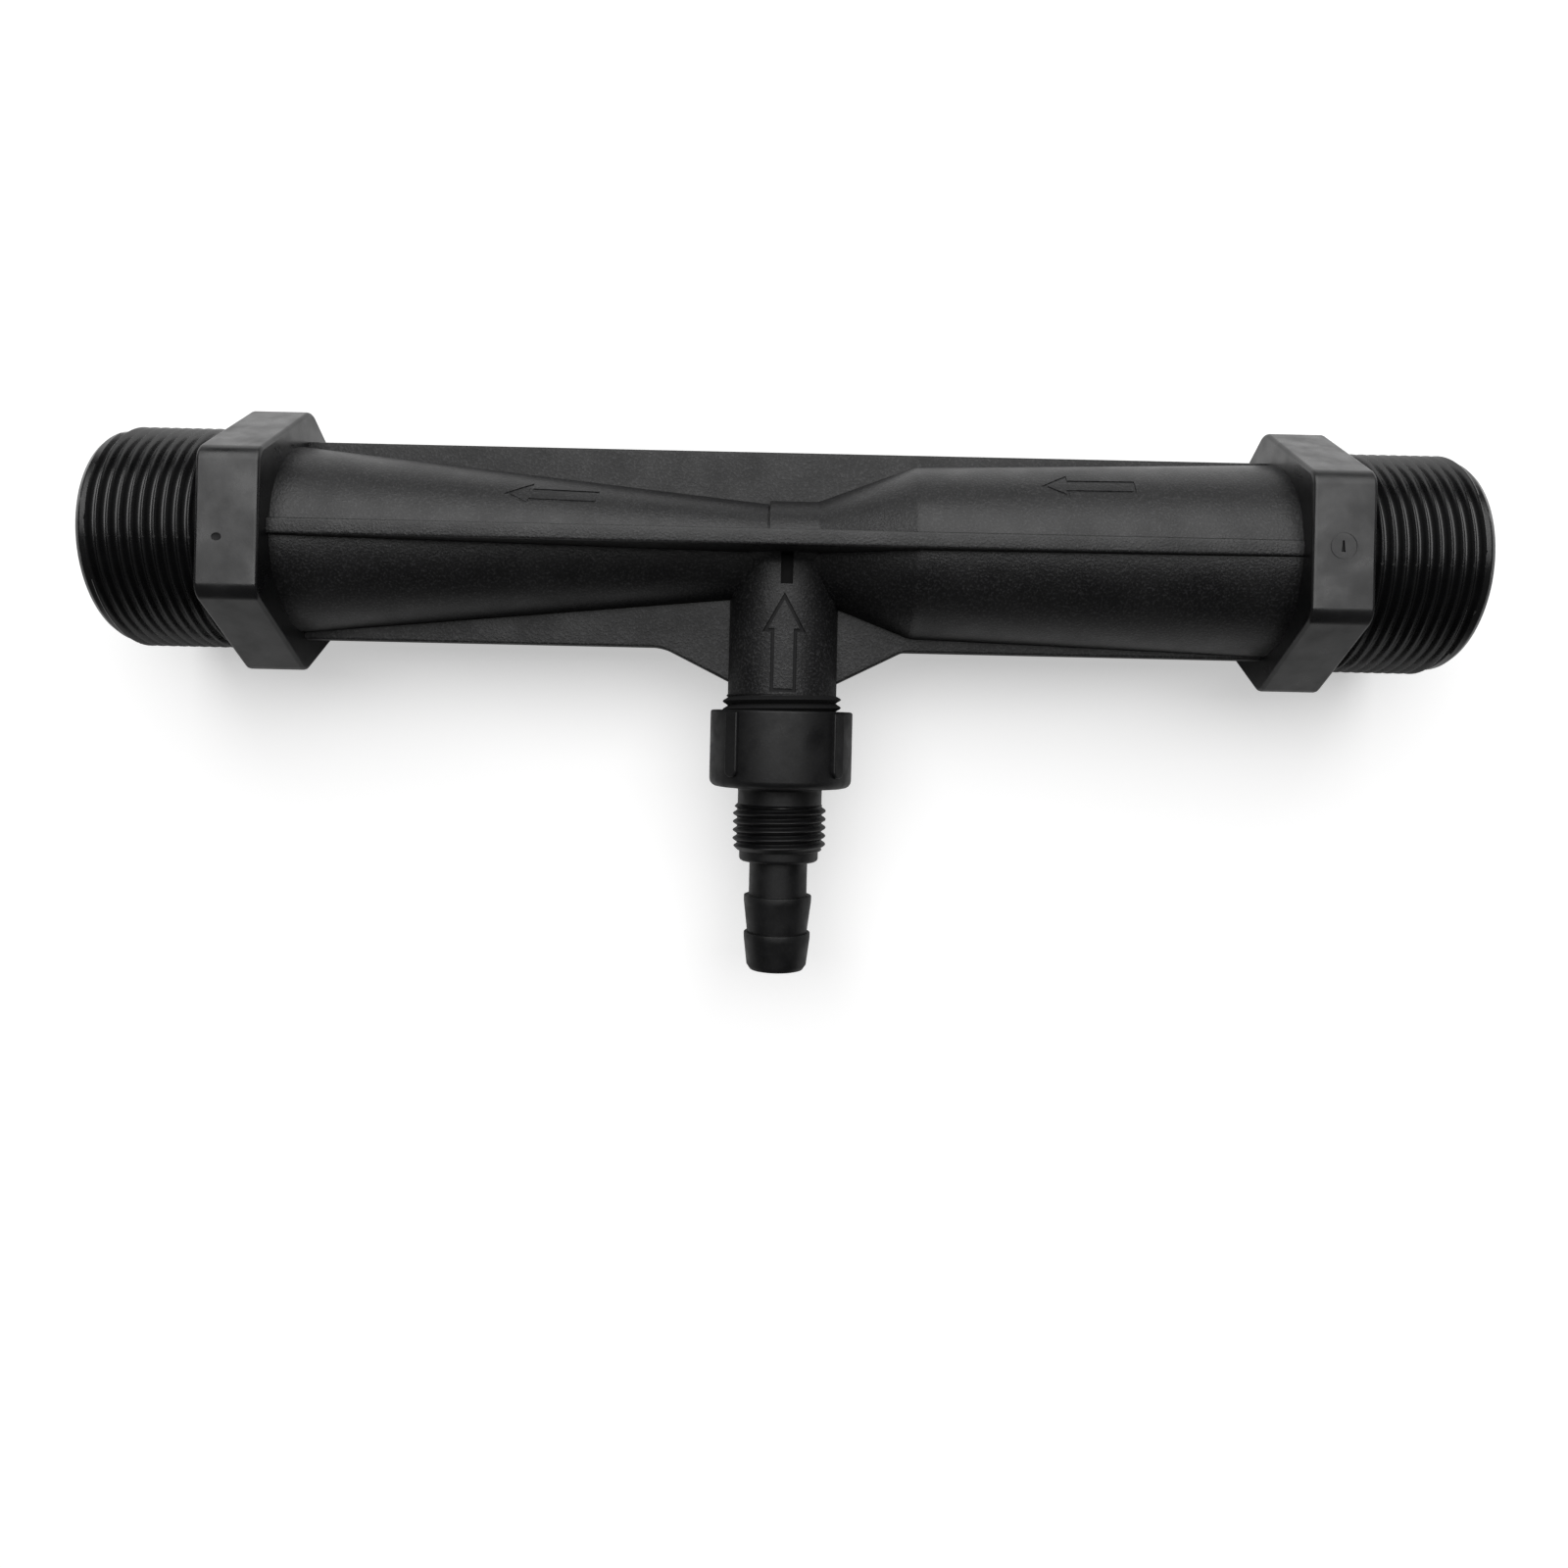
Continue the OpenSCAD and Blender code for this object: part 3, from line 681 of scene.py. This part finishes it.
def nitrileRubber():
    # moulded nitrile rubber: dull black with a fine dusty bloom
    material, tree = newMaterial("mouldedNitrileRubber")
    place = addNode(tree, "ShaderNodeTexCoord")
    bloom = addNode(tree, "ShaderNodeTexNoise", {"Scale": perMm(rubberLook["grain"]), "Detail": 3},
                    {"Vector": (place, "Object")})
    tint = addNode(tree, "ShaderNodeValToRGB", links={"Fac": (bloom, "Fac")})
    tint.color_ramp.elements[0].color = linear(rubberLook["dark"])
    tint.color_ramp.elements[1].color = linear(rubberLook["light"])
    relief = addNode(tree, "ShaderNodeBump", {"Strength": 1, "Distance": rubberLook["relief"] * mm},
                     {"Height": (bloom, "Fac")})
    skin = addNode(tree, "ShaderNodeBsdfPrincipled",
                   {"IOR": rubberLook["ior"], "Roughness": rubberLook["roughness"]},
                   {"Base Color": (tint, "Color"), "Normal": (relief, "Normal")})
    addNode(tree, "ShaderNodeOutputMaterial", links={"Surface": (skin, "BSDF")})
    return material


def groundAcetal():
    # ground and polished acetal: ivory white, clean gloss, faintly clouded
    material, tree = newMaterial("groundAcetal")
    place = addNode(tree, "ShaderNodeTexCoord")
    cloud = addNode(tree, "ShaderNodeTexNoise", {"Scale": perMm(acetalLook["cloud"]), "Detail": 2},
                    {"Vector": (place, "Object")})
    tint = addNode(tree, "ShaderNodeValToRGB", links={"Fac": (cloud, "Fac")})
    tint.color_ramp.elements[0].color = linear(acetalLook["dark"])
    tint.color_ramp.elements[1].color = linear(acetalLook["light"])
    skin = addNode(tree, "ShaderNodeBsdfPrincipled",
                   {"IOR": acetalLook["ior"], "Roughness": acetalLook["roughness"]},
                   {"Base Color": (tint, "Color")})
    addNode(tree, "ShaderNodeOutputMaterial", links={"Surface": (skin, "BSDF")})
    return material


def finishNode(name, material):
    materials = frame["nodes"][name].data.materials
    materials.clear()
    materials.append(material)


makeBody()
makeCap()
makeSpring()
finishNode("seal_washer", nitrileRubber())
finishNode("check_ball", groundAcetal())
print("seal and ball finished")


# Studio: white floor, one large soft light above and behind, a dim room; lengths here are in metres

studio = {"floorSize": 6, "floorColour": "#d6d6d6",
          "glowNear": 0.5, "glowFar": 1, "farStart": 0.15, "farEnd": 1.2,
          "sheenFront": 0.05, "sheenBack": 0.9, "sheenFrom": 0.01, "sheenTo": 0.07,
          "boxPlace": (0, 0.524, 0.875), "boxSize": (1.5, 1.19), "boxPower": 16.8,
          "roomColour": "#ffffff", "roomStrength": 0.03, "roomInSheen": 0.04}
# place in millimetres, roll in radians
viewpoint = {"right": 0.57, "below": 37.5, "height": 253.5, "roll": 0.0225,
             "lens": 26.5, "sensor": 36, "shift": -0.0389, "clipStart": 0.01}


def seenRays(tree, path, sheen):
    # 1 for what the camera or glass sees, a share for what a soft sheen sees, 0 for light on its way
    direct = addNode(tree, "ShaderNodeMath", {"operation": "MAXIMUM"},
                     {0: (path, "Is Camera Ray"), 1: (sheen, "Value")})
    return addNode(tree, "ShaderNodeMath", {"operation": "MAXIMUM"},
                   {0: (direct, "Value"), 1: (path, "Is Transmission Ray")})


def paperFloor():
    # matt white paper, lit up to white where the camera sees it; sheen sees it grow brighter at the back
    material, tree = newMaterial("whitePaper")
    path = addNode(tree, "ShaderNodeLightPath")
    place = addNode(tree, "ShaderNodeTexCoord")
    along = addNode(tree, "ShaderNodeSeparateXYZ", links={"Vector": (place, "Object")})
    share = addNode(tree, "ShaderNodeMapRange",
                    {"From Min": studio["sheenFrom"], "From Max": studio["sheenTo"],
                     "To Min": studio["sheenFront"], "To Max": studio["sheenBack"]},
                    {"Value": (along, "Y")})
    sheen = addNode(tree, "ShaderNodeMath", {"operation": "MULTIPLY"},
                    {0: (path, "Is Glossy Ray"), 1: (share, "Result")})
    away = addNode(tree, "ShaderNodeVectorMath", {"operation": "LENGTH"}, {0: (place, "Object")})
    level = addNode(tree, "ShaderNodeMapRange",
                    {"From Min": studio["farStart"], "From Max": studio["farEnd"],
                     "To Min": studio["glowNear"], "To Max": studio["glowFar"]}, {"Value": (away, "Value")})
    matt = addNode(tree, "ShaderNodeBsdfDiffuse", {"Color": linear(studio["floorColour"])})
    glow = addNode(tree, "ShaderNodeEmission", links={"Strength": (level, "Result")})
    lit = addNode(tree, "ShaderNodeAddShader", links={0: (matt, "BSDF"), 1: (glow, "Emission")})
    mix = addNode(tree, "ShaderNodeMixShader",
                  links={0: (seenRays(tree, path, sheen), "Value"), 1: (matt, "BSDF"), 2: (lit, "Shader")})
    addNode(tree, "ShaderNodeOutputMaterial", links={"Surface": (mix, "Shader")})
    return material


def whiteRoom():
    # white where the camera sees it, dim as a light
    world = bpy.data.worlds.new("room")
    world.use_nodes = True
    tree = world.node_tree
    tree.nodes.clear()
    path = addNode(tree, "ShaderNodeLightPath")
    sheen = addNode(tree, "ShaderNodeMath", {"operation": "MULTIPLY", 1: studio["roomInSheen"]},
                    {0: (path, "Is Glossy Ray")})
    level = addNode(tree, "ShaderNodeMapRange", {"To Min": studio["roomStrength"]},
                    {"Value": (seenRays(tree, path, sheen), "Value")})
    wall = addNode(tree, "ShaderNodeBackground", {"Color": linear(studio["roomColour"])},
                   {"Strength": (level, "Result")})
    addNode(tree, "ShaderNodeOutputWorld", links={"Surface": (wall, "Background")})
    return world


def makeStudio():
    bm = bmesh.new()
    bmesh.ops.create_grid(bm, x_segments=1, y_segments=1, size=studio["floorSize"] / 2)
    mesh = bpy.data.meshes.new("floor")
    bm.to_mesh(mesh)
    bm.free()
    mesh.materials.append(paperFloor())
    floor = bpy.data.objects.new("floor", mesh)
    bpy.context.scene.collection.objects.link(floor)

    lamp = bpy.data.lights.new("softBox", "AREA")
    lamp.shape = "RECTANGLE"
    lamp.size, lamp.size_y = studio["boxSize"]
    lamp.energy = studio["boxPower"]
    softBox = bpy.data.objects.new("softBox", lamp)
    softBox.location = studio["boxPlace"]
    softBox.rotation_euler = (axisPlace - softBox.location).to_track_quat("-Z", "Y").to_euler()
    bpy.context.scene.collection.objects.link(softBox)

    bpy.context.scene.world = whiteRoom()
    bpy.context.scene.view_settings.view_transform = "Standard"


def makeCamera():
    # straight down on the part, turned a little so the tube falls to the right
    lens = bpy.data.cameras.new("camera")
    lens.lens = viewpoint["lens"]
    lens.sensor_width = viewpoint["sensor"]
    lens.shift_y = viewpoint["shift"]
    lens.clip_start = viewpoint["clipStart"]
    camera = bpy.data.objects.new("camera", lens)
    camera.location = toRow @ Vector((viewpoint["right"], -viewpoint["below"], viewpoint["height"]))
    camera.rotation_euler = (0, 0, viewpoint["roll"])
    bpy.context.scene.collection.objects.link(camera)
    bpy.context.scene.camera = camera


makeStudio()
makeCamera()
print("studio and camera set")
